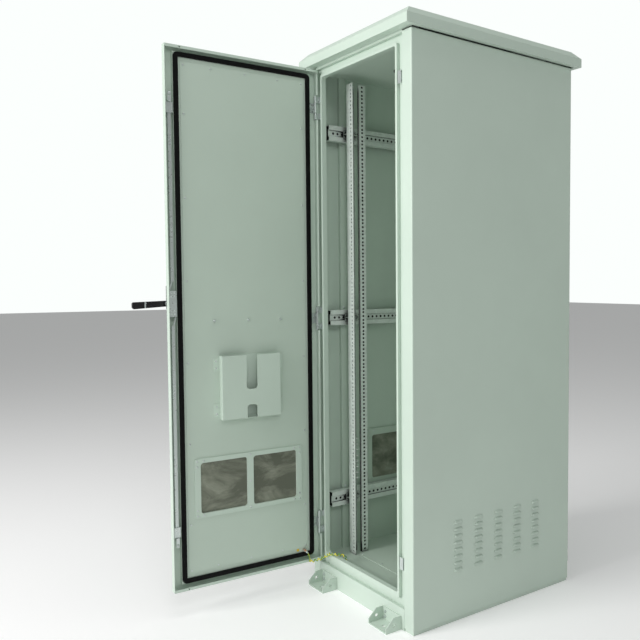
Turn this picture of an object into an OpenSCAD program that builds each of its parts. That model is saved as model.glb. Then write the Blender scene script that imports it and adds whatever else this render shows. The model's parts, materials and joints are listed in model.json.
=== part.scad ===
// Outdoor equipment cabinet with a 19 inch rack and one front door.
// X runs to the right, Y runs into the cabinet, Z runs up from the ground.
// The door pieces are drawn closed and then swung about the hinge pins to the open rest position.

/* [Cabinet] */
// Width over the side panels
body_w = 680; // [650:10:860]
// Depth from the front strips to the rear panel
body_d = 760; // [680:10:1000]
// Number of rack units between floor and ceiling
rack_units = 42; // [36:1:47]
// Thickness of the outer sheet
sheet_t = 2; // [1.5:0.25:2.5]
// Height of the plinth
plinth_h = 76; // [60:2:120]
// Height of the side panels' lower edge above the ground
panel_gap = 12; // [5:1:30]
// Width of the folded strips beside the door
strip_w = 52; // [45:1:60]

/* [Front frame] */
// Thickness of the frame sheet
frame_t = 1.5; // [1:0.25:2]
// Depth of the rain channel behind the strips
channel_d = 13; // [12:0.5:18]
// Width of the channel between the strips and the lip
channel_w = 32; // [30:1:36]
// Width of the lip's face at the sides and the top
lip_w = 10; // [8:1:14]
// Height of the lip's face at the bottom
lip_bottom_h = 18; // [14:1:30]
// Depth of the lip's inner wall
lip_d = 19; // [15:1:30]

/* [Roof] */
// Overhang of the roof at each side
roof_side = 22; // [10:1:60]
// Overhang of the roof at the front
roof_front = 33; // [28:1:80]
// Overhang of the roof at the rear
roof_rear = 35; // [10:1:80]
// Height of the roof's upright edge
fascia_h = 32; // [20:1:60]
// Rise of the chamfer above the upright edge
crown_h = 28; // [10:1:50]
// Air gap between the side panels and the roof edge
roof_gap = 5; // [3:1:12]

/* [Door] */
// Angle at which the door stands open
door_open = 93; // [70:1:96]
// Depth of the door's folded edge
door_d = 29; // [28:1:32]
// Gap between the door's edge and the strips
door_gap = 3; // [3:0.5:6]
// Distance by which the door stands proud of the strips
door_proud = 22; // [20:1:26]
// Width of the return lips at the door's top and bottom
door_return = 10; // [6:1:12]
// Width of the gasket
gasket_w = 16; // [12:1:20]
// Height of the inner panel above the door skin
tray_h = 12; // [10:1:14]

/* [Hinges] */
// Distance of the hinge axis from the door's side edge
hinge_in = 4; // [4:0.25:6]
// Diameter of the hinge pins
pin_d = 5; // [4:0.5:6]
// Outer diameter of the hinge knuckles
knuckle_d = 10; // [9:0.5:11]
// Height of one hinge
hinge_h = 87; // [60:1:110]
// Radial running clearance of pins and shafts
run_fit = 0.05; // [0.02:0.01:0.1]

/* [Lock] */
// Pitch radius of the lock pinion
pinion_r = 8; // [8:1:8]
// Height of the handle's axis above the door's middle
lock_up = 67; // [0:1:150]
// Length of the handle from its axis to its tip
handle_l = 122; // [100:1:150]
// Height of the lever
lever_h = 20; // [14:1:24]
// Width of the flat locking rods
rod_w = 11; // [9:0.5:12]
// Thickness of the flat locking rods
rod_t = 5; // [4:0.5:6]
// Running clearance of rods in their guides
slide_fit = 0.1; // [0.05:0.01:0.2]

/* [Inner panel] */
// Width of the document pocket
pocket_w = 220; // [150:10:300]
// Height of the document pocket
pocket_h = 232; // [180:2:300]
// Depth of the document pocket
pocket_d = 33; // [20:1:40]
// Width of the filter frames
filter_w = 412; // [380:2:420]
// Height of the door's filter frame
filter_h = 216; // [200:2:240]
// Width of one filter window
window_w = 172; // [120:2:176]
// Height of one filter window
window_h = 183; // [100:1:190]

/* [Rack] */
// Spacing of the two rail hole columns
rack_hole_x = 465.1; // [465.1:0.1:465.1]
// Diameter of the rail holes
rack_hole_d = 8.5; // [5:0.1:9]
// Distance of the front rails behind the strips
rail_back = 121; // [90:1:180]
// Height of the side braces
brace_h = 60; // [50:1:80]
// Depth of the side braces
brace_d = 28; // [20:1:28]
// Pitch of the round holes in the braces
brace_pitch = 20; // [15:1:30]
// Diameter of the round holes in the braces
brace_hole_d = 9.5; // [5:0.5:11]

/* [Feet] */
// Distance between the foot brackets' centres
foot_x = 430; // [300:10:440]
// Width of a foot bracket
foot_w = 110; // [80:2:140]
// Reach of a foot bracket in front of the plinth
foot_reach = 63; // [50:1:90]
// Height of a foot bracket
foot_h = 48; // [40:1:60]
// Thickness of a foot bracket
foot_t = 4; // [3:0.5:6]
// Distance of the anchor holes from the plinth
anchor_out = 35; // [30:1:40]
// Diameter of the anchor holes
anchor_d = 14; // [10:1:18]

/* [Louvres] */
// Length of one louvre
louvre_l = 40; // [30:1:46]
// Radius of a louvre's hood
louvre_r = 9.5; // [7:0.5:10]
// Distance between louvre rows
louvre_pitch = 24; // [22:1:30]
// Distance between louvre columns on the side panels
louvre_cols_pitch = 95; // [60:1:100]
// Height of the lowest louvre row on the right panel
louvre_z = 180; // [140:5:400]

/* [Earth wire] */
// Diameter of the earth wire
wire_d = 4; // [3:0.5:5]
// Outer diameter of the coiled stretch
coil_d = 12; // [8:0.5:14]

/* [Hidden] */
$fn = 48;

// Colours
paint = "#dfe9e0";
paint_inside = "#b4c2b6";
zinc = "#b9c2c8";
black = "#1b1c1d";
filter_grey = "#8b8d7d";
copper = "#a5673f";

// Body planes
half_w = body_w / 2;
front_y = -body_d / 2;
rear_y = body_d / 2;
inner_x = half_w - sheet_t;
frame_x = half_w - strip_w;
floor_z = plinth_h + 14;
rack_unit = 44.45;
rail_top = floor_z + rack_units * rack_unit + 8.1;
ceiling_z = rail_top + 40;
top_z = ceiling_z + 4;
fold_r = 4;

// Front frame
channel_y = front_y + channel_d;
lip_y = front_y + 1;
lip_x = frame_x - channel_w;
open_x = lip_x - lip_w;
lip_z0 = plinth_h + 28;
open_z0 = lip_z0 + lip_bottom_h;
lip_z1 = ceiling_z - 24;
open_z1 = lip_z1 - lip_w;
lip_r = 8;
frame_wall = 17;

// Door, in its closed position
door_x = frame_x - door_gap;
skin_y = front_y - door_proud;
rim_y = skin_y + door_d;
door_z0 = plinth_h + 16;
door_z1 = ceiling_z - 4;
door_mid = (door_z0 + door_z1) / 2;
skin_in = skin_y + sheet_t;
panel_t = 1.5;
panel_y = skin_in + tray_h + panel_t;
panel_x = lip_x;
panel_z0 = lip_z0 + 10;
panel_z1 = lip_z1 + 2;
gasket_x = panel_x - 2;
cover_x = gasket_x - gasket_w - 8;
cover_z0 = panel_z0 + 35;
cover_z1 = panel_z1 - 31;
cover_y = panel_y + 1.5;
gasket_face = lip_y - 0.4;
hinge_x = -door_x + hinge_in;
hinge_y = front_y - 8;
hinge_zs = [door_z0 + 147, door_mid, door_z1 - 141];
knuckle_mid = hinge_h * 0.44;

// Lock
lock_x = door_x - 14.5;
lock_z = door_mid + lock_up;
gearbox_w = 24;
gearbox_h = 90;
gearbox_y1 = rim_y - 1;
rod_y = skin_in + 14.5;
tooth_pitch = PI;
lever_t = 14;
lever_y1 = skin_y - 22;
pivot_x = -6;
pivot_y = lever_y1 - lever_t / 2;
lever_pin_d = 4;
keeper_h = 42;
keeper_top_z = door_z1 - 158;
keeper_bottom_z = door_z0 + 159;
roller_d = 10;
roller_y = rim_y;
roller_gap = 8;
upper_tip = keeper_top_z - roller_gap;
lower_tip = keeper_bottom_z + roller_gap;

// Rack
rail_y = front_y + rail_back;
rail_hole_x = rack_hole_x / 2;
rail_in = rail_hole_x - 14;
rail_out = rail_in + 45.5;
rail_t = 2;
rail_hole_top = rail_top - 8.7;
depth_x = rail_hole_x + 0.5;
depth_y = rail_y + 40;
depth_w = 28;
depth_t = 14;
rail_z0 = floor_z;
post_d = 15;
post_w = 28;
post_front_y = rail_y + 3;
post_rear_y = rear_y - 80;
post_x = inner_x - post_d;
brace_x = post_x - brace_d;
brace_zs = [floor_z + 220, (floor_z + ceiling_z) / 2 - 2, ceiling_z - 229];
brace_y0 = front_y + 60;
brace_y1 = rear_y - 40;

// Inner panel
pocket_z0 = door_z0 + 599;
filter_z0 = door_z0 + 249;
window_x = 12;
wall_filter_y = post_front_y + post_w + 100;
wall_filter_z = floor_z + 239;
wall_filter_h = 239;
frame_plate_t = 4;

// Feet and earth wire
stud_x = -214;
stud_z = door_z0 + 48;
floor_stud = [-185, front_y + 42];
wire_shift = [0, front_y + 380, 0];
wire_r = wire_d / 2;
coil_r = coil_d / 2;
door_seat = 8.5;
floor_seat = 4;
lug_bore = 11;
door_lug_turn = 130;
lug_dir = [cos(door_lug_turn), 0, -sin(door_lug_turn)];
lead_start = [stud_x, panel_y + door_seat + 2.5, stud_z];
lead_in = [
    at_rest(lead_start + lug_bore * lug_dir), at_rest(lead_start + 18 * lug_dir),
    wire_shift + [-268, -442, 115], wire_shift + [-262, -441, 103]
];
coil_points = [
    [-256, -440, 97], [-240, -412, 104], [-225, -395, 115], [-200, -388, 130],
    [-184, -385, 133], [-166, -370, 133], [-160, -350, 126], [-160, -342, 116]
];
coil_route = [for (p = coil_points) p + wire_shift];
lead_out = [
    wire_shift + [-156, -340, 108], wire_shift + [-157, -338, 99],
    wire_shift + [-163, -338, floor_z + 6.5],
    [floor_stud.x + lug_bore, floor_stud.y, floor_z + 6.5]
];

// A closed-door point in the rest position
function at_rest(p) = [
    hinge_x + (p.x - hinge_x) * cos(door_open) + (p.y - hinge_y) * sin(door_open),
    hinge_y - (p.x - hinge_x) * sin(door_open) + (p.y - hinge_y) * cos(door_open),
    p.z
];

// ---------- shared shapes ----------

module block(p, q) {
    translate(p) cube(q - p);
}

// A flat outline drawn in X and Z, from y0 to y1
module across_y(y0, y1) {
    translate([0, y1, 0]) rotate([90, 0, 0]) linear_extrude(y1 - y0) children();
}

// A flat outline drawn in Y and Z, from x0 to x1
module across_x(x0, x1) {
    translate([x0, 0, 0]) rotate([90, 0, 90]) linear_extrude(x1 - x0) children();
}

// A rectangle between two corners with rounded corners
module rounded(a, b, r) {
    translate([a.x + r, a.y]) square([b.x - a.x - 2 * r, b.y - a.y]);
    translate([a.x, a.y + r]) square([b.x - a.x, b.y - a.y - 2 * r]);
    for (x = [a.x + r, b.x - r], y = [a.y + r, b.y - r]) translate([x, y]) circle(r);
}

// A rounded ring of width w inside the corners a and b
module ring(a, b, r, w) {
    difference() {
        rounded(a, b, r);
        rounded(a + [w, w], b - [w, w], max(r - w, 0.5));
    }
}

module mirrored(axis) {
    children();
    mirror(axis) children();
}

// Swings closed-door geometry to the rest position
module on_door() {
    translate([hinge_x, hinge_y, 0]) rotate([0, 0, -door_open]) translate([-hinge_x, -hinge_y, 0])
        children();
}

// A bolt or rivet head on the origin, pointing along +Z
module button_head(d, h) {
    cylinder(d = d, h = h * 0.6, $fn = 24);
    translate([0, 0, h * 0.6]) cylinder(d1 = d, d2 = d * 0.6, h = h * 0.4, $fn = 24);
}

module hex_head(d, h) {
    cylinder(d = d, h = h, $fn = 6);
}

// Turns +Z to face the cabinet's inside, +Y
module face_in() {
    rotate([-90, 0, 0]) children();
}

// ---------- louvres ----------

module capsule(r, half) {
    rotate([0, 90, 0]) cylinder(r = r, h = 2 * half, center = true);
    for (x = [-half, half]) translate([x, 0, 0]) sphere(r);
}

// The upper half of a capsule sunk to the sheet's inner face, in X and Y, outward along Z
module hood(r, low) {
    intersection() {
        translate([0, 0, -sheet_t]) capsule(r, louvre_l / 2 - louvre_r);
        translate([-louvre_l / 2, 0, -low]) cube([louvre_l, louvre_r, louvre_r + low]);
    }
}

module hoods(cols, rows, pitch_x, pitch_y, r, low) {
    for (c = [0:cols - 1], n = [0:rows - 1])
        translate([(c - (cols - 1) / 2) * pitch_x, n * pitch_y, 0]) hood(r, low);
}

// ---------- outer shell ----------

// The right side panel's plan: wall, folded front strip, and rear flange
module side_plan() {
    intersection() {
        ring([-half_w, front_y], [half_w, rear_y + fold_r * 2], fold_r, sheet_t);
        union() {
            translate([frame_x, front_y]) square([strip_w, fold_r * 1.5]);
            translate([half_w - fold_r, front_y]) square([fold_r, body_d - sheet_t]);
        }
    }
    translate([half_w - 22, rear_y - 2 * sheet_t]) square([22 - sheet_t / 2, sheet_t]);
}

module side_panel(z) {
    difference() {
        union() {
            translate([0, 0, panel_gap]) linear_extrude(top_z - panel_gap) side_plan();
            block([frame_x, front_y + 1, plinth_h], [frame_x + sheet_t, lip_y + lip_d, ceiling_z]);
            translate([half_w, 5, z]) rotate([90, 0, 90])
                hoods(5, 8, louvre_cols_pitch, louvre_pitch, louvre_r, sheet_t);
        }
        translate([half_w, 5, z]) rotate([90, 0, 90])
            hoods(5, 8, louvre_cols_pitch, louvre_pitch, louvre_r - sheet_t, sheet_t * 3);
    }
}

module right_side_panel() {
    color(paint) side_panel(louvre_z);
}

module left_side_panel() {
    color(paint) mirror([1, 0, 0]) side_panel(wall_filter_z + 36);
}

module rear_panel() {
    color(paint) block([-half_w, rear_y - sheet_t, plinth_h + 2], [half_w, rear_y, top_z]);
}

// Screws of the rear panel and the floor cover
module case_screws() {
    color(zinc) {
        mirrored([1, 0, 0]) for (n = [0:4])
            translate([half_w - 12, rear_y, 120 + n * (top_z - 180) / 4]) face_in() button_head(9, 3);
        for (x = [-210, -70, 70, 210], y = [front_y + 148, rear_y - 181])
            translate([x, y, floor_z + 1.5]) button_head(9, 3);
    }
}

module front_frame() {
    color(paint) {
        across_y(channel_y, channel_y + frame_t) difference() {
            translate([-frame_x, plinth_h]) square([2 * frame_x, ceiling_z - plinth_h]);
            rounded([-lip_x + 1, lip_z0 + 1], [lip_x - 1, lip_z1 - 1], lip_r);
        }
        across_y(lip_y, channel_y + frame_t) ring([-lip_x, lip_z0], [lip_x, lip_z1], lip_r, frame_t);
        across_y(lip_y, lip_y + frame_t) difference() {
            rounded([-lip_x, lip_z0], [lip_x, lip_z1], lip_r);
            rounded([-open_x, open_z0], [open_x, open_z1], lip_r);
        }
        across_y(lip_y, lip_y + lip_d)
            ring([-open_x - frame_t, open_z0 - frame_t], [open_x + frame_t, open_z1 + frame_t],
                lip_r + frame_t, frame_t);
        across_y(channel_y, channel_y + frame_wall) difference() {
            translate([-frame_x, plinth_h]) square([2 * frame_x, ceiling_z - plinth_h]);
            translate([-frame_x + frame_t, plinth_h + frame_t])
                square([2 * (frame_x - frame_t), ceiling_z - plinth_h - 2 * frame_t]);
        }
    }
}

module ceiling_plate() {
    color(paint) difference() {
        union() {
            block([-inner_x, front_y + 2 * sheet_t, ceiling_z],
                [inner_x, rear_y - 2 * sheet_t, ceiling_z + 2]);
            block([-frame_x, front_y, ceiling_z], [frame_x, front_y + sheet_t, top_z + roof_gap]);
            block([-frame_x, front_y, ceiling_z], [frame_x, front_y + 2 * sheet_t, ceiling_z + 2]);
        }
        translate([-90, -130, ceiling_z - 1]) cylinder(d = 26, h = 4);
    }
}

module ceiling_gland() {
    color(black) translate([-90, -130, 0]) {
        translate([0, 0, ceiling_z - 5]) cylinder(d = 36, h = 5);
        translate([0, 0, ceiling_z - 12]) cylinder(d = 26, h = 8);
        translate([0, 0, ceiling_z - 1]) cylinder(d = 25.4, h = 6);
    }
}

module roof_block(inset) {
    x = half_w + roof_side - inset;
    y0 = front_y - roof_front + inset;
    y1 = rear_y + roof_rear - inset;
    z0 = top_z + roof_gap - (inset > 0 ? 1 : 0);
    z1 = top_z + roof_gap + fascia_h;
    z2 = z1 + crown_h;
    rise = crown_h - inset * 0.4;
    intersection() {
        across_y(y0, y1) polygon([
            [-x, z0], [x, z0], [x, z1 - inset * 0.4], [x - rise, z2 - inset],
            [-x + rise, z2 - inset], [-x, z1 - inset * 0.4]
        ]);
        across_x(-x, x) polygon([
            [y0, z0], [y1, z0], [y1, z1 - inset * 0.4], [y1 - rise, z2 - inset],
            [y0 + rise, z2 - inset], [y0, z1 - inset * 0.4]
        ]);
    }
}

module roof() {
    z0 = top_z + roof_gap;
    x = half_w + roof_side;
    color(paint) {
        difference() {
            roof_block(0);
            roof_block(sheet_t);
        }
        difference() {
            block([-x + 1, front_y - roof_front + 1, z0], [x - 1, rear_y + roof_rear - 1, z0 + sheet_t]);
            block([-x + 20, front_y + 2 * sheet_t, z0 - 1], [x - 20, rear_y + roof_rear - 20, z0 + 5]);
        }
    }
}

module roof_spacers() {
    crown_in = top_z + roof_gap + fascia_h + crown_h - sheet_t;
    color(zinc) for (x = [-half_w + 60, half_w - 60], y = [front_y + 60, rear_y - 60])
        translate([x, y, ceiling_z + 2]) cylinder(d = 24, h = crown_in - ceiling_z - 2);
}

// ---------- floor and base ----------

module floor_plate() {
    color(paint_inside) difference() {
        union() {
            block([-inner_x, channel_y + frame_wall, floor_z - 2], [inner_x, rear_y - 2 * sheet_t, floor_z]);
            block([-inner_x + 8, channel_y + 30, plinth_h], [inner_x - 8, rear_y - 12, floor_z - 1]);
        }
        block([-inner_x + 10, channel_y + 32, plinth_h - 1], [inner_x - 10, rear_y - 14, floor_z - 2]);
        block([-200, front_y + 170, floor_z - 5], [200, rear_y - 200, floor_z + 1]);
    }
}

module floor_cover() {
    color(paint_inside) block([-225, front_y + 137, floor_z], [225, rear_y - 170, floor_z + 1.5]);
}

module plinth() {
    color(paint) difference() {
        union() {
            difference() {
                block([-half_w + 4, front_y + 4, 0], [half_w - 4, rear_y - 4, plinth_h]);
                block([-half_w + 6, front_y + 6, -1], [half_w - 6, rear_y - 6, plinth_h - 2]);
                block([-half_w + 26, front_y + 26, 0], [half_w - 26, rear_y - 26, plinth_h + 1]);
            }
            block([-frame_x + 1, front_y, 0], [frame_x - 1, front_y + 5, plinth_h]);
            block([-frame_x + 1, rear_y - 5, 0], [frame_x - 1, rear_y, plinth_h]);
        }
        foot_bolt_places() cylinder(d = 6.6, h = 40, center = true);
    }
}

// The four bolt places of each foot bracket, with +Z pointing out of the plinth
module foot_bolt_places() {
    for (side = [-1, 1], x = [-36, 36], z = [16, 34]) {
        translate([side * foot_x / 2 + x, front_y, z]) rotate([90, 0, 0]) children();
        translate([side * foot_x / 2 + x, rear_y, z]) rotate([-90, 0, 0]) children();
    }
}

module foot_gusset() {
    polygon([
        [0, 0], [-foot_reach, 0], [-foot_reach, foot_h * 0.38], [-foot_reach + 4, foot_h * 0.46],
        [-foot_reach / 2, foot_h], [0, foot_h]
    ]);
}

// A folded bracket whose back lies on the plane Y = 0 and whose foot reaches to -Y
module foot_bracket() {
    color(paint) difference() {
        union() {
            block([-foot_w / 2, -foot_t, 0], [foot_w / 2, 0, foot_h]);
            block([-foot_w / 2, -foot_reach, 0], [foot_w / 2, 0, foot_t]);
            mirrored([1, 0, 0]) across_x(foot_w / 2 - foot_t, foot_w / 2) foot_gusset();
        }
        translate([0, -anchor_out, -1]) cylinder(d = anchor_d, h = foot_t + 2);
        translate([-foot_w, -31, 23]) rotate([0, 90, 0]) cylinder(d = 12, h = 2 * foot_w);
        for (x = [-36, 36], z = [16, 34])
            translate([x, 0, z]) rotate([90, 0, 0]) cylinder(d = 6.6, h = 20, center = true);
    }
}

module foot_front_left() {
    translate([-foot_x / 2, front_y, 0]) foot_bracket();
}

module foot_front_right() {
    translate([foot_x / 2, front_y, 0]) foot_bracket();
}

module foot_rear_left() {
    translate([-foot_x / 2, rear_y, 0]) mirror([0, 1, 0]) foot_bracket();
}

module foot_rear_right() {
    translate([foot_x / 2, rear_y, 0]) mirror([0, 1, 0]) foot_bracket();
}

module foot_bolts() {
    color(zinc) foot_bolt_places() {
        translate([0, 0, foot_t]) hex_head(11, 4);
        translate([0, 0, -12]) cylinder(d = 6, h = 12 + foot_t + 1);
    }
}

// ---------- rack and side walls ----------

module wall_posts_right() {
    color(paint_inside) for (y = [post_front_y, post_rear_y]) difference() {
        block([post_x, y, floor_z], [inner_x, y + post_w, ceiling_z]);
        block([post_x + 1.5, y + 1.5, floor_z - 1], [inner_x + 1, y + post_w - 1.5, ceiling_z + 1]);
    }
}

module wall_posts_left() {
    mirror([1, 0, 0]) wall_posts_right();
}

// A closed rail with round holes in the sunk web between two flat bands
module brace(z) {
    h = brace_h / 2;
    difference() {
        block([brace_x, brace_y0, z - h], [post_x, brace_y1, z + h]);
        block([brace_x - 1, brace_y0 - 1, z - 12], [brace_x + 6, brace_y1 + 1, z + 12]);
        block([brace_x + 8, brace_y0 - 1, z - h + 2], [post_x - 2, brace_y1 + 1, z + h - 2]);
        for (s = [-1, 1]) translate([0, 0, z + s * (h + 12) / 2])
            block([brace_x + 2, brace_y0 - 1, 8 - h / 2], [brace_x + 9, brace_y1 + 1, h / 2 - 8]);
        across_x(brace_x + 5, brace_x + 9) for (y = [brace_y0 + 22:brace_pitch:brace_y1 - 12])
            translate([y, z]) circle(d = brace_hole_d);
    }
}

module braces_right() {
    color(zinc) for (z = brace_zs) brace(z);
}

module braces_left() {
    mirror([1, 0, 0]) braces_right();
}

module brace_screws() {
    ys = [post_front_y + 14, post_rear_y + 14];
    color(zinc) mirrored([1, 0, 0]) for (z = brace_zs, y = ys, s = [-1, 1])
        translate([post_x, y, z + s * (brace_h / 2 + 9)]) rotate([0, -90, 0]) button_head(9, 3);
}

// The centres of one column of rail holes, as heights
function hole_heights() = [
    for (u = [0:rack_units - 1], k = [0:2]) rail_hole_top - u * rack_unit - k * 15.875
];

module rack_rail_right() {
    color(zinc) {
        across_y(rail_y, rail_y + rail_t) difference() {
            translate([rail_in, rail_z0]) square([rail_out - rail_in, rail_top - rail_z0]);
            for (z = hole_heights()) translate([rail_hole_x, z]) circle(d = rack_hole_d);
        }
        block([rail_out - rail_t, rail_y, rail_z0], [rail_out, rail_y + 34, rail_top]);
    }
}

module rack_rail_left() {
    mirror([1, 0, 0]) rack_rail_right();
}

module depth_rail_right() {
    color(zinc) difference() {
        block([depth_x, depth_y, rail_z0], [depth_x + depth_t, depth_y + depth_w, rail_top]);
        block([depth_x + rail_t, depth_y + rail_t, rail_z0 - 1],
            [depth_x + depth_t - rail_t, depth_y + depth_w - rail_t, rail_top + 1]);
        across_x(depth_x - 1, depth_x + 3)
            for (z = hole_heights()) translate([depth_y + 13, z]) circle(d = rack_hole_d);
    }
}

module depth_rail_left() {
    mirror([1, 0, 0]) depth_rail_right();
}

// One bracket from a side brace to the front rail and the depth rail
module rail_bracket(z) {
    block([depth_x + depth_t, depth_y + 6, z - 1], [brace_x, depth_y + 26, z + 1]);
    block([rail_out, rail_y + 4, z - 1], [brace_x, depth_y + 26, z + 1]);
    block([rail_out, rail_y + 4, z - 15], [rail_out + 2, rail_y + 32, z + 15]);
    block([depth_x + depth_t, depth_y + 6, z - 15], [depth_x + depth_t + 2, depth_y + 26, z + 15]);
    block([brace_x - 2, rail_y + 4, z - 15], [brace_x, depth_y + 26, z + 15]);
}

module rail_brackets() {
    color(zinc) mirrored([1, 0, 0]) for (z = brace_zs) rail_bracket(z);
}

// ---------- filter frames ----------

// A frame plate with two windows, centred on X and standing on Y = 0
module filter_outline(h) {
    difference() {
        rounded([-filter_w / 2, 0], [filter_w / 2, h], 8);
        mirrored([1, 0]) rounded(
            [window_x, (h - window_h) / 2],
            [window_x + window_w, (h + window_h) / 2], 10);
    }
}

module filter_screw_places(h) {
    mirrored([1, 0, 0]) for (z = [9, h - 9]) {
        translate([filter_w / 2 - 9, 0, z]) children();
        translate([filter_w / 2 - 32, 0, z]) children();
        translate([filter_w / 2 - 9, 0, z + (z < h / 2 ? 20 : -20)]) children();
    }
    for (z = [9, h / 2, h - 9]) translate([0, 0, z]) children();
}

// Places closed-door geometry of the wall filter on the left wall
module on_left_wall() {
    translate([-inner_x, wall_filter_y + filter_w / 2, wall_filter_z]) rotate([0, 0, -90]) children();
}

module wall_filter_frame() {
    color(paint_inside) on_left_wall() {
        across_y(5, 5 + frame_plate_t) filter_outline(wall_filter_h);
        across_y(0, 6) difference() {
            rounded([-filter_w / 2, 0], [filter_w / 2, wall_filter_h], 8);
            rounded([-filter_w / 2 + 6, 6], [filter_w / 2 - 6, wall_filter_h - 6], 1);
        }
    }
}

module wall_filter_mesh() {
    color(filter_grey) on_left_wall()
        block([-filter_w / 2 + 7, 2, 7], [filter_w / 2 - 7, 5, wall_filter_h - 7]);
}

module wall_filter_screws() {
    color(zinc) on_left_wall() filter_screw_places(wall_filter_h)
        translate([0, 5 + frame_plate_t, 0]) face_in() button_head(7, 2.4);
}

// ---------- fixed parts of the lock and hinges ----------

// A hook whose plate catches the roller from the front
module keeper(z) {
    block([lock_x - 7, lip_y - 2, z], [lock_x + 12, lip_y, z + keeper_h]);
    block([lock_x + 10, lip_y - 2, z], [lock_x + 12, channel_y, z + keeper_h]);
    block([lock_x + 10, channel_y - 2, z], [frame_x - 1, channel_y, z + keeper_h]);
}

module keepers() {
    color(zinc) {
        keeper(keeper_top_z);
        keeper(keeper_bottom_z - keeper_h);
    }
}

module hinge_frame_leaves() {
    color(zinc) for (z = hinge_zs) difference() {
        for (s = [-1, 1]) translate([0, 0, z + s * (hinge_h / 4 + knuckle_mid / 4)]) {
            h = (hinge_h - knuckle_mid) / 2 - 0.6;
            translate([hinge_x, hinge_y, 0]) cylinder(d = knuckle_d, h = h, center = true);
            translate([hinge_x - 2, hinge_y, -h / 2]) cube([4, channel_y - hinge_y, h]);
            translate([hinge_x - 4, channel_y - 2, -h / 2]) cube([20, 2, h]);
        }
        translate([hinge_x, hinge_y, z - hinge_h]) cylinder(d = pin_d, h = 2 * hinge_h);
    }
}

module hinge_pins() {
    color(zinc) for (z = hinge_zs) translate([hinge_x, hinge_y, z]) {
        cylinder(d = pin_d, h = hinge_h + 2, center = true);
        mirrored([0, 0, 1]) translate([0, 0, hinge_h / 2]) cylinder(d = pin_d + 3, h = 2);
    }
}

// ---------- door ----------

module door_shell() {
    color(paint) on_door() difference() {
        union() {
            difference() {
                block([-door_x, skin_y, door_z0], [door_x, rim_y, door_z1]);
                block([-door_x + 2, skin_in, door_z0 + 2], [door_x - 2, rim_y + 1, door_z1 - 2]);
            }
            block([-door_x + 1, rim_y - 2, door_z0], [door_x - 1, rim_y, door_z0 + door_return]);
            block([-door_x + 1, rim_y - 2, door_z1 - door_return], [door_x - 1, rim_y, door_z1]);
            translate([0, skin_y, filter_z0 + 30]) rotate([90, 0, 0])
                hoods(6, 7, 62, louvre_pitch, louvre_r, sheet_t);
        }
        translate([0, skin_y, filter_z0 + 30]) rotate([90, 0, 0])
            hoods(6, 7, 62, louvre_pitch, louvre_r - sheet_t, sheet_t * 3);
        for (z = hinge_zs)
            block([-door_x - 1, hinge_y - 7, z - hinge_h / 2 - 3],
                [-door_x + 3, rim_y + 1, z + hinge_h / 2 + 3]);
        translate([lock_x, skin_y - 1, lock_z]) rotate([-90, 0, 0]) cylinder(d = 12 + 2 * run_fit, h = 5);
        for (x = [-234, 234], z = [door_z0 + 5, door_z1 - 5])
            translate([x, rim_y - 3, z]) rotate([-90, 0, 0]) cylinder(d = 6, h = 5);
    }
}

module door_inner_panel() {
    color(paint_inside) on_door() difference() {
        union() {
            block([-panel_x, skin_in, panel_z0], [panel_x, panel_y, panel_z1]);
            block([-cover_x, panel_y - 1, cover_z0], [cover_x, cover_y, cover_z1]);
        }
        block([-panel_x + panel_t, skin_in - 1, panel_z0 + panel_t],
            [panel_x - panel_t, panel_y - panel_t, panel_z1 - panel_t]);
        translate([0, 0, filter_z0]) across_y(skin_in, cover_y + 1) mirrored([1, 0])
            rounded([window_x, (filter_h - window_h) / 2],
                [window_x + window_w, (filter_h + window_h) / 2], 10);
    }
}

module door_gasket() {
    color(black) on_door() across_y(panel_y, gasket_face)
        ring([-gasket_x, panel_z0 + 2], [gasket_x, panel_z1 - 2], 16, gasket_w);
}

// Rivets of the inner panel, the pocket's tabs and the filter frame
module panel_rivets() {
    rows = [for (k = [0:5]) door_z0 + 230 + k * (door_z1 - door_z0 - 459) / 5];
    color(zinc) on_door() {
        mirrored([1, 0, 0]) for (z = rows) translate([220, cover_y, z]) face_in() button_head(7, 2.2);
        for (x = [-220, -125, 0, 125, 220], z = [door_z0 + 65, door_z1 - 61])
            translate([x, cover_y, z]) face_in() button_head(7, 2.2);
        mirrored([1, 0, 0]) for (z = [20, 46, pocket_h - 46, pocket_h - 20])
            translate([pocket_w / 2 + 11, cover_y + 1.2, pocket_z0 + z]) face_in() button_head(7, 2.2);
        translate([0, cover_y + frame_plate_t, filter_z0])
            filter_screw_places(filter_h) face_in() button_head(7, 2.2);
    }
}

module panel_studs() {
    color(zinc) on_door() for (x = [-126, 0, 126]) translate([x, cover_y, door_mid + 3]) face_in() {
        cylinder(d = 6, h = 12);
        hex_head(10, 5);
    }
}

module document_pocket() {
    color(paint) on_door() translate([0, cover_y, pocket_z0]) difference() {
        union() {
            block([-pocket_w / 2, 0, 0], [pocket_w / 2, pocket_d, pocket_h]);
            for (z = [8, pocket_h - 58]) block([-pocket_w / 2 - 22, 0, z], [pocket_w / 2 + 22, 1.2, z + 50]);
        }
        block([-pocket_w / 2 + 1.2, 1.2, 1.2], [pocket_w / 2 - 1.2, pocket_d - 1.2, pocket_h + 1]);
        across_y(pocket_d - 3, pocket_d + 1) {
            rounded([-20, pocket_h - 126], [20, pocket_h + 20], 12);
            rounded([-18.5, -20], [18.5, 49], 12);
        }
    }
}

module door_filter_frame() {
    color(paint) on_door() translate([0, 0, filter_z0])
        across_y(cover_y, cover_y + frame_plate_t) filter_outline(filter_h);
}

module door_filter_mesh() {
    color(filter_grey) on_door() block(
        [-filter_w / 2 + 7, panel_y - panel_t - 3, filter_z0 + 5],
        [filter_w / 2 - 7, panel_y - panel_t, filter_z0 + filter_h - 5]);
}

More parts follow.
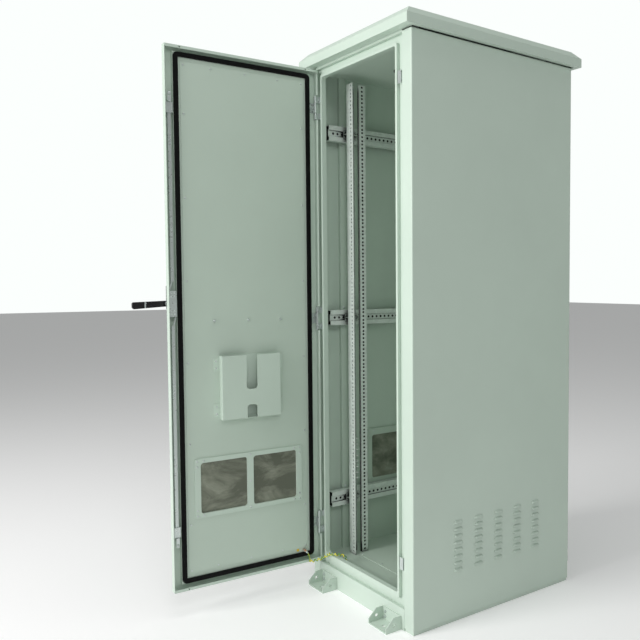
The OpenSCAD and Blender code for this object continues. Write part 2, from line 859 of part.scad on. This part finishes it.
module hinge_door_leaves() {
    color(zinc) on_door() for (z = hinge_zs) difference() {
        union() {
            translate([hinge_x, hinge_y, z]) cylinder(d = knuckle_d, h = knuckle_mid, center = true);
            block([hinge_x - 2, skin_in, z - knuckle_mid / 2], [hinge_x + 2, hinge_y, z + knuckle_mid / 2]);
            block([hinge_x - 2, skin_in, z - knuckle_mid / 2],
                [-panel_x - 1, skin_in + 2, z + knuckle_mid / 2]);
        }
        translate([hinge_x, hinge_y, z]) cylinder(d = pin_d + 2 * run_fit, h = hinge_h, center = true);
    }
}

// ---------- lock ----------

module handle_plate() {
    color(black) on_door() difference() {
        across_y(skin_y - 12, skin_y) rounded([lock_x - 13, lock_z - 26], [lock_x + 13, lock_z + 68], 10);
        translate([lock_x, skin_y - 13, lock_z]) rotate([-90, 0, 0]) cylinder(d = 12 + 2 * run_fit, h = 14);
        block([lock_x - 8, skin_y - 13, lock_z + 20], [lock_x + 8, skin_y - 6, lock_z + 58]);
    }
}

module lock_gearbox() {
    x0 = lock_x - gearbox_w / 2;
    x1 = lock_x + gearbox_w / 2;
    color(zinc) on_door() {
        difference() {
            block([x0, skin_in, lock_z - gearbox_h / 2], [x1, gearbox_y1, lock_z + gearbox_h / 2]);
            block([x0 + 1, skin_in + 1.5, lock_z - gearbox_h],
                [x1 - 1, gearbox_y1 - 1.5, lock_z + gearbox_h]);
            translate([lock_x, skin_in - 1, lock_z]) rotate([-90, 0, 0])
                cylinder(d = 12 + 2 * run_fit, h = 40);
        }
        for (x = [-6, 6], z = [-36, -24, 26, 38])
            translate([lock_x + x, gearbox_y1, lock_z + z]) face_in() button_head(6, 1.6);
    }
}

// A toothed outline: a disc with straight-sided teeth
module pinion_outline() {
    circle(pinion_r - 1);
    for (k = [0:2 * pinion_r - 1]) rotate([0, 0, (k + 0.5) * 180 / pinion_r])
        polygon([[0, -0.75], [pinion_r - 1, -0.75], [pinion_r + 0.7, -0.4], [pinion_r + 0.7, 0.4],
            [pinion_r - 1, 0.75], [0, 0.75]]);
}

// The spindle carries the ears of the lever's pivot outside
module lock_spindle() {
    color(zinc) on_door() translate([lock_x, 0, lock_z]) {
        translate([0, lever_y1 + 0.2, 0]) rotate([-90, 0, 0])
            cylinder(d = 12, h = gearbox_y1 - lever_y1 - 0.2);
        translate([0, lever_y1 + 0.2, 0]) rotate([-90, 0, 0]) cylinder(d = 28, h = 8);
        for (z = [-lever_h / 2 - 2.2, lever_h / 2 + 0.2]) difference() {
            union() {
                translate([pivot_x, pivot_y, z]) cylinder(r = 4, h = 2);
                translate([pivot_x - 4, pivot_y, z]) cube([8, lever_t / 2 + 2, 2]);
            }
            translate([pivot_x, pivot_y, z - 1]) cylinder(d = lever_pin_d, h = 4);
        }
    }
}

// The pinion sits on the spindle inside the gearbox
module lock_pinion() {
    color(zinc) on_door() translate([lock_x, 0, lock_z]) difference() {
        across_y(rod_y, rod_y + rod_t) pinion_outline();
        translate([0, rod_y - 1, 0]) rotate([-90, 0, 0]) cylinder(d = 12, h = rod_t + 2);
    }
}

module handle_pin() {
    color(zinc) on_door() translate([lock_x + pivot_x, pivot_y, lock_z])
        cylinder(d = lever_pin_d, h = lever_h + 4.4, center = true);
}

// The lever's side view, growing taller and drooping towards its tip
module lever_side() {
    h = lever_h / 2;
    l = handle_l;
    polygon([
        [-13, 2 - h], [-11, -h], [4, -h], [l - 5, -h - 8], [l, -h - 3], [l, h - 8],
        [l - 4, h - 4], [4, h], [-11, h], [-13, h - 2]
    ]);
}

// The lever's plan, from its pivot to its tip
module lever_plan() {
    translate([pivot_x, pivot_y]) circle(d = lever_t);
    translate([pivot_x, lever_y1 - lever_t]) square([handle_l - pivot_x, lever_t]);
}

module handle_lever() {
    color(black) on_door() translate([lock_x, 0, lock_z]) difference() {
        intersection() {
            translate([0, 0, -lever_h]) linear_extrude(2 * lever_h) lever_plan();
            across_y(lever_y1 - lever_t - 1, lever_y1 + 1) lever_side();
        }
        translate([pivot_x, pivot_y, -lever_h]) cylinder(d = lever_pin_d + 2 * run_fit, h = 2 * lever_h);
        band_bars(0.5);
    }
}

// The two inlaid bars of the band, with their ends lengthened by e
module band_bars(e) {
    for (y = [lever_y1 - lever_t - e, lever_y1 - 2])
        translate([77.7, y, -lever_h / 2 - 5 - e]) cube([4.6, 2 + e, lever_h + 2 + 2 * e]);
}

module handle_band() {
    color(zinc) on_door() translate([lock_x, 0, lock_z]) band_bars(0);
}

// A straight toothed bar beside the pinion, its teeth pointing to -X from the pitch line x = 0
module rack_outline(z0, z1) {
    translate([1, z0]) square([1.9, z1 - z0]);
    for (n = [-5:5]) translate([0, n * tooth_pitch])
        polygon([[1.5, -0.75], [1, -0.75], [-0.6, -0.4], [-0.6, 0.4], [1, 0.75], [1.5, 0.75]]);
}

// One locking rod, drawn upwards from the pinion's height to its fork
module rod_shape(tip) {
    across_y(rod_y, rod_y + rod_t) {
        translate([pinion_r, 0]) rack_outline(-20, 50);
        polygon([[pinion_r + 2.9, 44], [pinion_r + 2.9, 52], [2.8, 84], [-2.8, 84], [pinion_r - 1, 48]]);
        translate([-rod_w / 2, 78]) square([rod_w, tip - 24 - 78]);
    }
    block([-rod_w / 2, rod_y, tip - 29], [rod_w / 2, roller_y + 2.5, tip - 24]);
    block([-rod_w / 2, roller_y - 2.5, tip - 29], [rod_w / 2, roller_y + 2.5, tip - 9]);
    mirrored([1, 0, 0]) difference() {
        block([rod_w / 2 - 1.8, roller_y - 2.5, tip - 10], [rod_w / 2, roller_y + 2.5, tip + 4]);
        translate([0, roller_y, tip]) rotate([0, 90, 0]) cylinder(d = 3, h = rod_w);
    }
}

module upper_rod() {
    color(zinc) on_door() translate([lock_x, 0, lock_z]) rod_shape(upper_tip - lock_z);
}

module lower_rod() {
    color(zinc) on_door() translate([lock_x, 0, lock_z]) rotate([0, 180, 0]) rod_shape(lock_z - lower_tip);
}

module rod_roller() {
    rotate([0, 90, 0]) {
        cylinder(d = 3 - 2 * run_fit, h = rod_w, center = true);
        cylinder(d = roller_d, h = rod_w - 4.4, center = true);
    }
}

module upper_roller() {
    color(zinc) on_door() translate([lock_x, roller_y, upper_tip]) rod_roller();
}

module lower_roller() {
    color(zinc) on_door() translate([lock_x, roller_y, lower_tip]) rod_roller();
}

module rod_guides() {
    color(zinc) on_door() for (z = [upper_tip - 66, lower_tip + 30]) difference() {
        block([lock_x - 11, skin_in, z], [lock_x + 11, rod_y + rod_t + 4, z + 36]);
        block([lock_x - rod_w / 2 - slide_fit, rod_y - slide_fit, z - 1],
            [lock_x + rod_w / 2 + slide_fit, rod_y + rod_t + slide_fit, z + 37]);
    }
}

// ---------- earthing ----------

// A threaded stud with a nut below and a nut above the ring lug
module stud(seat) {
    cylinder(d = 6, h = seat + 7);
    hex_head(11, seat);
    translate([0, 0, seat + 1.5]) hex_head(10, 3);
}

// A ring lug on a stud's seat with its crimp barrel along +X
module ring_lug() {
    difference() {
        union() {
            cylinder(d = 13, h = 1.5);
            translate([0, -3.5, 0]) cube([10, 7, 1.5]);
            translate([8, 0, 2.5]) rotate([0, 90, 0]) cylinder(d = 6, h = 9);
        }
        translate([0, 0, 1.5]) cylinder(d = 12, h = 5);
        translate([0, 0, -1]) cylinder(d = 6.4, h = 4);
        translate([lug_bore, 0, 2.5]) rotate([0, 90, 0]) cylinder(d = wire_d, h = 10);
    }
}

module door_earth_stud() {
    color(copper) on_door() translate([stud_x, panel_y, stud_z]) face_in() stud(door_seat);
}

module door_earth_lug() {
    color(zinc) on_door() translate([stud_x, panel_y + door_seat, stud_z]) face_in()
        rotate([0, 0, door_lug_turn]) ring_lug();
}

module earth_marker() {
    color("#e6c62e") on_door() translate([stud_x + 26, panel_y, stud_z + 3]) face_in()
        cylinder(d = 11, h = 0.6);
}

module floor_earth_stud() {
    color(copper) translate([floor_stud.x, floor_stud.y, floor_z]) stud(floor_seat);
}

module floor_earth_lug() {
    color(zinc) translate([floor_stud.x, floor_stud.y, floor_z + floor_seat]) ring_lug();
}

// A tube through the points, with its own radius at each point
module tube(points, radii, sides = 8) {
    last = len(points) - 1;
    rings = [
        for (i = [0:last]) let (
            t = unit(points[min(i + 1, last)] - points[max(i - 1, 0)]),
            u = unit(cross(t, [1, -1, 0.3])),
            v = cross(t, u)
        ) for (k = [0:sides - 1])
            points[i] + radii[i] * (cos(k * 360 / sides) * u + sin(k * 360 / sides) * v)
    ];
    walls = [
        for (i = [0:last - 1], k = [0:sides - 1]) let (
            a = i * sides + k,
            b = i * sides + (k + 1) % sides
        ) [a, a + sides, b + sides, b]
    ];
    polyhedron(rings, concat(
        [[for (k = [0:sides - 1]) k]],
        walls,
        [[for (k = [sides - 1:-1:0]) last * sides + k]]));
}

function unit(v) = v / norm(v);

module earth_wire() {
    color("#c9cf3a") tube(
        concat(lead_in, coil_route, lead_out),
        concat([for (p = lead_in) wire_r], [for (p = coil_route) coil_r], [for (p = lead_out) wire_r]));
}

left_side_panel();
right_side_panel();
rear_panel();
case_screws();
front_frame();
ceiling_plate();
ceiling_gland();
roof();
roof_spacers();
floor_plate();
floor_cover();
plinth();
foot_front_left();
foot_front_right();
foot_rear_left();
foot_rear_right();
foot_bolts();
wall_posts_left();
wall_posts_right();
braces_left();
braces_right();
brace_screws();
rack_rail_left();
rack_rail_right();
depth_rail_left();
depth_rail_right();
rail_brackets();
wall_filter_frame();
wall_filter_mesh();
wall_filter_screws();
keepers();
hinge_frame_leaves();
hinge_pins();
floor_earth_stud();
floor_earth_lug();
earth_wire();
door_shell();
door_inner_panel();
door_gasket();
panel_rivets();
panel_studs();
document_pocket();
door_filter_frame();
door_filter_mesh();
hinge_door_leaves();
handle_plate();
lock_gearbox();
rod_guides();
door_earth_stud();
door_earth_lug();
earth_marker();
lock_spindle();
lock_pinion();
handle_pin();
handle_lever();
handle_band();
upper_rod();
lower_rod();
upper_roller();
lower_roller();
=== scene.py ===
import json
import math

import bpy
from mathutils import Matrix, Vector


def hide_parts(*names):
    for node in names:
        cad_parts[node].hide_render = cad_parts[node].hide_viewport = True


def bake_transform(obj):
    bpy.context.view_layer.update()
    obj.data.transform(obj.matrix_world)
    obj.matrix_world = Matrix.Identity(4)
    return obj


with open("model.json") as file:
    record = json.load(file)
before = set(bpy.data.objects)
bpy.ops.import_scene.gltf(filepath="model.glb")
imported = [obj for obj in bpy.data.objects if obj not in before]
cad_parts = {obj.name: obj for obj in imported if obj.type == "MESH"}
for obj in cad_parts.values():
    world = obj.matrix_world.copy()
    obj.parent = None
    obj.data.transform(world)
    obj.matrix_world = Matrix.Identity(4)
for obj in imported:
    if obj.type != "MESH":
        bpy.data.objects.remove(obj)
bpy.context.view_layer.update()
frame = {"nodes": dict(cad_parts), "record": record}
nodes = frame["nodes"]

DOOR_OPEN = math.radians(93)
HINGE = Vector((-0.281, -0.388, 0))


def at_rest(x, y, z):
    """A point of the closed door, where it lies with the door open."""
    turn = Matrix.Rotation(-DOOR_OPEN, 3, "Z")
    return turn @ (Vector((x, y, z)) - HINGE) + HINGE


# ---------- camera, floor and light ----------

CAMERA_PLACE = (2.3239, -1.8233, 1.1905)
AZIMUTH, ELEVATION, ROLL = map(math.radians, (50.91, 2.89, -0.05))
FOCAL_MM = 42.08
SENSOR_MM = 36
SHIFT_X = -0.2065
SHIFT_Y = -0.0014
CLIP_END = 100

FLOOR_SIZE = 60
FLOOR_TONE = (0.92, 0.92, 0.92, 1)
FLOOR_GLOW = 0.15
SKY_COLOR = (0.97, 1.0, 0.985, 1)
SKY_AS_LIGHT = 0.25
SKY_AS_BACKGROUND = 1.0

# Name, place, target, edge length, watts, colour
LIGHTS = (
    ("key", (-0.6, -5.6, 2.6), (0, -0.3, 1.0), 2.6, 240, (1.0, 0.985, 0.985)),
    ("side", (4.8, -2.4, 4.2), (0.2, -0.4, 1.9), 2.0, 62, (0.98, 1.0, 0.99)),
    ("top", (0.4, -0.8, 5.0), (0, 0, 1.5), 2.5, 45, (1, 1, 1)),
)


def make_camera():
    data = bpy.data.cameras.new("camera")
    data.lens = FOCAL_MM
    data.sensor_width = SENSOR_MM
    data.shift_x = SHIFT_X
    data.shift_y = SHIFT_Y
    data.clip_end = CLIP_END
    camera = bpy.data.objects.new("camera", data)
    back = Vector((
        math.sin(AZIMUTH) * math.cos(ELEVATION),
        -math.cos(AZIMUTH) * math.cos(ELEVATION),
        math.sin(ELEVATION),
    ))
    right = Vector((math.cos(AZIMUTH), math.sin(AZIMUTH), 0))
    up = back.cross(right)
    turn = Matrix((right, up, back)).transposed() @ Matrix.Rotation(ROLL, 3, "Z")
    camera.matrix_world = Matrix.Translation(CAMERA_PLACE) @ turn.to_4x4()
    bpy.context.scene.collection.objects.link(camera)
    bpy.context.scene.camera = camera


def area_light(name, place, target, size, power, color):
    data = bpy.data.lights.new(name, "AREA")
    data.size = size
    data.energy = power
    data.color = color
    light = bpy.data.objects.new(name, data)
    light.location = place
    light.rotation_mode = "QUATERNION"
    aim = Vector(target) - Vector(place)
    light.rotation_quaternion = aim.to_track_quat("-Z", "Y")
    bpy.context.scene.collection.objects.link(light)


def make_floor():
    bpy.ops.mesh.primitive_plane_add(size=FLOOR_SIZE, location=(0, 0, 0))
    floor = bpy.context.object
    floor.name = "floor"
    m, shader = new_material("studio_floor")
    shader.inputs["Base Color"].default_value = FLOOR_TONE
    shader.inputs["Roughness"].default_value = 0.7
    shader.inputs["Emission Color"].default_value = (1, 1, 1, 1)
    shader.inputs["Emission Strength"].default_value = FLOOR_GLOW
    floor.data.materials.append(m)


def make_sky():
    """A pale world, weak as a light and bright where the camera sees it."""
    world = bpy.data.worlds.new("studio")
    world.use_nodes = True
    tree = world.node_tree
    sky = tree.nodes["Background"]
    sky.inputs["Color"].default_value = SKY_COLOR
    seen = tree.nodes.new("ShaderNodeLightPath")
    strength = tree.nodes.new("ShaderNodeMapRange")
    strength.inputs["To Min"].default_value = SKY_AS_LIGHT
    strength.inputs["To Max"].default_value = SKY_AS_BACKGROUND
    tree.links.new(seen.outputs["Is Camera Ray"], strength.inputs["Value"])
    tree.links.new(strength.outputs["Result"], sky.inputs["Strength"])
    bpy.context.scene.world = world


def make_stage():
    make_floor()
    make_sky()
    bpy.context.scene.view_settings.view_transform = "Standard"
    for light in LIGHTS:
        area_light(*light)


# ---------- materials ----------

FOLD_EDGE = 0.0012
FINE_EDGE = 0.0006
WEAVE_PITCH = 0.0022
# How far ambient occlusion reaches for the painted shade in the galvanised hollows
SHADE_REACH = 0.05

# Sockets of the Mix node in its colour mode
MIX_FACTOR, MIX_A, MIX_B, MIX_RESULT = 0, 6, 7, 2


def new_material(name):
    m = bpy.data.materials.new(name)
    m.use_nodes = True
    return m, m.node_tree.nodes["Principled BSDF"]


class Graph:
    """Short names for adding shader nodes to one material."""

    def __init__(self, name):
        self.material, self.shader = new_material(name)
        self.tree = self.material.node_tree
        self.place = self.add("ShaderNodeTexCoord").outputs["Object"]

    def add(self, kind, **inputs):
        node = self.tree.nodes.new(kind)
        for key, value in inputs.items():
            self.set(node, key.replace("_", " "), value)
        return node

    def set(self, node, key, value):
        if isinstance(value, bpy.types.NodeSocket):
            self.tree.links.new(value, node.inputs[key])
        else:
            node.inputs[key].default_value = value

    def noise(self, scale, detail=3, rough=0.5):
        node = self.add("ShaderNodeTexNoise", Vector=self.place, Scale=scale,
                        Detail=detail, Roughness=rough)
        return node.outputs["Fac"]

    def ramp(self, value, low, high, start=0.3, end=0.7):
        node = self.add("ShaderNodeValToRGB", Fac=value)
        first, second = node.color_ramp.elements
        first.position = start
        second.position = end
        first.color = (*low, 1)
        second.color = (*high, 1)
        return node.outputs["Color"]

    def spread(self, value, low, high):
        node = self.add("ShaderNodeMapRange", Value=value, To_Min=low, To_Max=high)
        return node.outputs["Result"]

    def calculate(self, operation, *values):
        node = self.add("ShaderNodeMath")
        node.operation = operation
        for i, value in enumerate(values):
            self.set(node, i, value)
        return node.outputs[0]

    def relief(self, height, distance, strength, edge=0.0):
        """Fine bumps, on edges that are rounded by the given radius."""
        bump = self.add("ShaderNodeBump", Height=height, Distance=distance,
                        Strength=strength)
        if edge:
            bevel = self.add("ShaderNodeBevel", Radius=edge)
            self.set(bump, "Normal", bevel.outputs["Normal"])
        self.set(self.shader, "Normal", bump.outputs["Normal"])

    def base(self, color, metallic, roughness):
        self.set(self.shader, "Base Color", color)
        self.set(self.shader, "Metallic", metallic)
        self.set(self.shader, "Roughness", roughness)


def powder_coat(name, color):
    """Textured powder coat: faint orange peel, slow tone drift and slightly uneven gloss."""
    g = Graph(name)
    low = [c * 0.965 for c in color]
    high = [min(c * 1.02, 1) for c in color]
    g.base(g.ramp(g.noise(2.2, 4, 0.6), low, high), 0.0, g.spread(g.noise(9, 4), 0.36, 0.5))
    g.relief(g.noise(520, 2, 0.5), 0.00022, 0.35, FOLD_EDGE)
    return g.material


def zinc_plate(name, color):
    """Bright zinc plating with small cloudy patches."""
    g = Graph(name)
    low = [c * 0.9 for c in color]
    g.base(g.ramp(g.noise(28, 5, 0.65), low, color), 0.6, g.spread(g.noise(60, 4), 0.22, 0.36))
    g.relief(g.noise(700, 3, 0.6), 0.0001, 0.4, FINE_EDGE)
    return g.material


def galvanised(name, color):
    """Hot-dip sheet: spangle cells of different tones, and painted shade that darkens the
    colour inside the profiles and holes.
    """
    g = Graph(name)
    cells = g.add("ShaderNodeTexVoronoi", Vector=g.place, Scale=70).outputs["Color"]
    grey = g.add("ShaderNodeRGBToBW", Color=cells).outputs["Val"]
    low = [c * 0.88 for c in color]
    tone = g.ramp(grey, low, color, 0.1, 0.9)
    # Painted shade: ambient occlusion multiplies the colour nearly to black in hollows, inside
    # the profiles and holes.
    painted_shade_ao = g.add("ShaderNodeAmbientOcclusion", Distance=SHADE_REACH)
    shade = g.ramp(painted_shade_ao.outputs["AO"], (0.01, 0.01, 0.01), (1, 1, 1), 0.42, 0.68)
    mixed = g.add("ShaderNodeMix")
    mixed.data_type = "RGBA"
    mixed.blend_type = "MULTIPLY"
    g.set(mixed, MIX_FACTOR, 1)
    g.set(mixed, MIX_A, tone)
    g.set(mixed, MIX_B, shade)
    g.base(mixed.outputs[MIX_RESULT], 0.15, g.spread(g.noise(40, 4), 0.36, 0.52))
    g.relief(g.noise(600, 3, 0.6), 0.0001, 0.3, FINE_EDGE)
    return g.material


def moulded_plastic(name, color, rough):
    """Plastic with a faint grain, its gloss uneven around the given roughness."""
    g = Graph(name)
    high = [c * 1.5 for c in color]
    g.base(g.ramp(g.noise(30, 4), color, high), 0.0,
           g.spread(g.noise(120, 3), rough - 0.05, rough + 0.08))
    g.relief(g.noise(900, 2, 0.5), 0.00012, 0.4, 0.0008)
    return g.material


def foam_rubber(name):
    """Black sealing foam, open-pored and nearly without gloss."""
    g = Graph(name)
    g.base(g.ramp(g.noise(400, 4), (0.0005, 0.0005, 0.0005), (0.003, 0.003, 0.0035)), 0.0,
           g.spread(g.noise(60, 3), 0.55, 0.72))
    g.relief(g.noise(900, 4, 0.7), 0.0003, 0.5, 0.002)
    g.shader.inputs["Specular IOR Level"].default_value = 0.15
    return g.material


def filter_media(name):
    """Metal filter cloth: a fine weave, with slanting wavy streaks of painted sheen that
    lighten its colour, where it is also glossier.
    """
    g = Graph(name)
    split = g.add("ShaderNodeSeparateXYZ", Vector=g.place)
    across = g.calculate("ADD", split.outputs["X"], split.outputs["Y"])
    waves = [g.calculate("SINE", g.calculate("MULTIPLY", axis, 2 * math.pi / WEAVE_PITCH))
             for axis in (across, split.outputs["Z"])]
    weave = g.calculate("MULTIPLY", *waves)
    slant = g.add("ShaderNodeMapping", Vector=g.place, Rotation=(0.9, 0.9, 0),
                  Scale=(3.4, 3.4, 7))
    bent = g.add("ShaderNodeTexNoise", Vector=slant.outputs["Vector"], Scale=1.7,
                 Detail=8, Roughness=0.66, Distortion=0.7)
    # Painted sheen: the base colour is lighter along these slanting streaks, and the gloss is
    # higher there.
    sheen_streak = bent.outputs["Fac"]
    g.base(g.ramp(sheen_streak, (0.13, 0.14, 0.105), (0.40, 0.42, 0.335), 0.44, 0.76), 0.2,
           g.spread(sheen_streak, 0.62, 0.4))
    g.relief(weave, 0.0004, 0.6)
    return g.material


def copper_metal(name):
    """Bare copper with darker, duller patches."""
    g = Graph(name)
    g.base(g.ramp(g.noise(90, 4), (0.45, 0.22, 0.12), (0.72, 0.42, 0.26)), 1.0,
           g.spread(g.noise(150, 3), 0.25, 0.4))
    g.relief(g.noise(800, 2), 0.0001, 0.3, 0.0005)
    return g.material


def striped_insulation(name):
    """Green insulation with a yellow stripe along it, from the tube's own stripe attribute."""
    g = Graph(name)
    stripe = g.add("ShaderNodeAttribute")
    stripe.attribute_name = "stripe"
    g.base(g.ramp(stripe.outputs["Fac"], (0.10, 0.33, 0.05), (0.86, 0.76, 0.05), 0.42, 0.46),
           0.0, g.spread(g.noise(200, 3), 0.3, 0.45))
    g.relief(g.noise(900, 2), 0.0001, 0.3)
    return g.material


MATERIALS = {
    "paint_outside": powder_coat("outer_powder_coat", (0.55, 0.655, 0.57)),
    "paint_inside": powder_coat("inner_powder_coat", (0.52, 0.62, 0.535)),
    "zinc": zinc_plate("zinc_plate", (0.62, 0.68, 0.66)),
    "galvanised": galvanised("galvanised_sheet", (0.78, 0.85, 0.80)),
    "black_plastic": moulded_plastic("black_plastic", (0.004, 0.004, 0.0045), 0.24),
    "gasket_rubber": foam_rubber("gasket_foam"),
    "filter_media": filter_media("filter_cloth"),
    "copper": copper_metal("copper"),
    "wire_insulation": striped_insulation("earth_insulation"),
    "marker_yellow": moulded_plastic("marker_yellow", (0.62, 0.44, 0.03), 0.4),
}


def dress_nodes():
    for part in frame["record"]["subparts"]:
        mesh = nodes[part["node"]].data
        mesh.materials.clear()
        mesh.materials.append(MATERIALS[part["material_slot"]])


# ---------- the coiled earth wire ----------

WIRE_R = 0.002
WIRE_SIDES = 10
COIL_R = 0.004
COIL_PITCH = 0.0145
# How far the wire runs while the coil grows to its full radius or dies away
COIL_EASE = 0.012
LINE_STEP = 0.0008

# The lug's barrel on the closed door, then the lead from it to the coil
LUG_TURN = math.radians(130)
LUG_DIR = Vector((math.cos(LUG_TURN), 0, -math.sin(LUG_TURN)))
LEAD_START = Vector((-0.214, -0.3755, 0.140))
LEAD_IN = [
    at_rest(*(LEAD_START + 0.011 * LUG_DIR)), at_rest(*(LEAD_START + 0.018 * LUG_DIR)),
    Vector((-0.268, -0.442, 0.115)), Vector((-0.262, -0.441, 0.103)),
]
COIL_ROUTE = [Vector(p) / 1000 for p in (
    (-256, -440, 97), (-240, -412, 104), (-225, -395, 115), (-200, -388, 130),
    (-184, -385, 133), (-166, -370, 133), (-160, -350, 126), (-160, -342, 116),
)]
LEAD_OUT = [Vector(p) / 1000 for p in (
    (-156, -340, 108), (-157, -338, 99), (-163, -338, 96.5), (-174, -338, 96.5),
)]


def smooth_line(points, step):
    """A Catmull-Rom curve through the points, with its own points about one step apart."""
    ends = [2 * points[0] - points[1], *points, 2 * points[-1] - points[-2]]
    line = []
    for a, b, c, d in zip(ends, ends[1:], ends[2:], ends[3:]):
        count = max(2, round((c - b).length / step))
        for k in range(count):
            t = k / count
            line.append(0.5 * (2 * b + (c - a) * t + (2 * a - 5 * b + 4 * c - d) * t ** 2
                               + (3 * b - a - 3 * c + d) * t ** 3))
    return line + [points[-1]]


def frames_along(line):
    """Each point with two directions across the line, carried along without twist."""
    side = Vector((0, 0, 1))
    result = []
    for i, p in enumerate(line):
        ahead = (line[min(i + 1, len(line) - 1)] - line[max(i - 1, 0)]).normalized()
        side = (side - side.dot(ahead) * ahead).normalized()
        result.append((p, side, ahead.cross(side)))
    return result


def wound_line():
    """The wire's centre line: a straight lead, the coil's helix, and a straight lead."""
    core = smooth_line(LEAD_IN + COIL_ROUTE + LEAD_OUT, LINE_STEP)
    gone = [0.0]
    for a, b in zip(core, core[1:]):
        gone.append(gone[-1] + (b - a).length)
    start, end = (gone[min(range(len(core)), key=lambda i: (core[i] - p).length)]
                  for p in (COIL_ROUTE[0], COIL_ROUTE[-1]))
    line = []
    for (p, side, other), s in zip(frames_along(core), gone):
        begun = min(1, max(0, (s - start + COIL_EASE) / COIL_EASE))
        left = min(1, max(0, (end + COIL_EASE - s) / COIL_EASE))
        angle = 2 * math.pi * (s - start) / COIL_PITCH
        across = math.cos(angle) * side + math.sin(angle) * other
        line.append(p + COIL_R * (begun * left) * across)
    return line


def tube_mesh(name, line, radius, sides):
    """A capped tube along the line, with a stripe attribute that goes round with it."""
    verts, stripes, faces = [], [], []
    for p, side, other in frames_along(line):
        for k in range(sides):
            turn = 2 * math.pi * k / sides
            verts.append(p + radius * (math.cos(turn) * side + math.sin(turn) * other))
            stripes.append(0.5 + 0.5 * math.cos(turn))
    for i in range(len(line) - 1):
        for k in range(sides):
            a, b = i * sides + k, i * sides + (k + 1) % sides
            faces.append((a, b, b + sides, a + sides))
    last = (len(line) - 1) * sides
    faces.append(tuple(reversed(range(sides))))
    faces.append(tuple(range(last, last + sides)))
    mesh = bpy.data.meshes.new(name)
    mesh.from_pydata(verts, [], faces)
    mesh.polygons.foreach_set("use_smooth", [len(f) == 4 for f in faces])
    mesh.attributes.new("stripe", "FLOAT", "POINT").data.foreach_set("value", stripes)
    piece = bpy.data.objects.new(name, mesh)
    bpy.context.scene.collection.objects.link(piece)
    return piece


def coiled_earth_wire():
    line = wound_line()
    wire = tube_mesh("coiled_earth_wire", line, WIRE_R, WIRE_SIDES)
    wire.data.materials.append(MATERIALS["wire_insulation"])
    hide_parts("earth_wire")
    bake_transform(wire)


make_camera()
coiled_earth_wire()
dress_nodes()
make_stage()
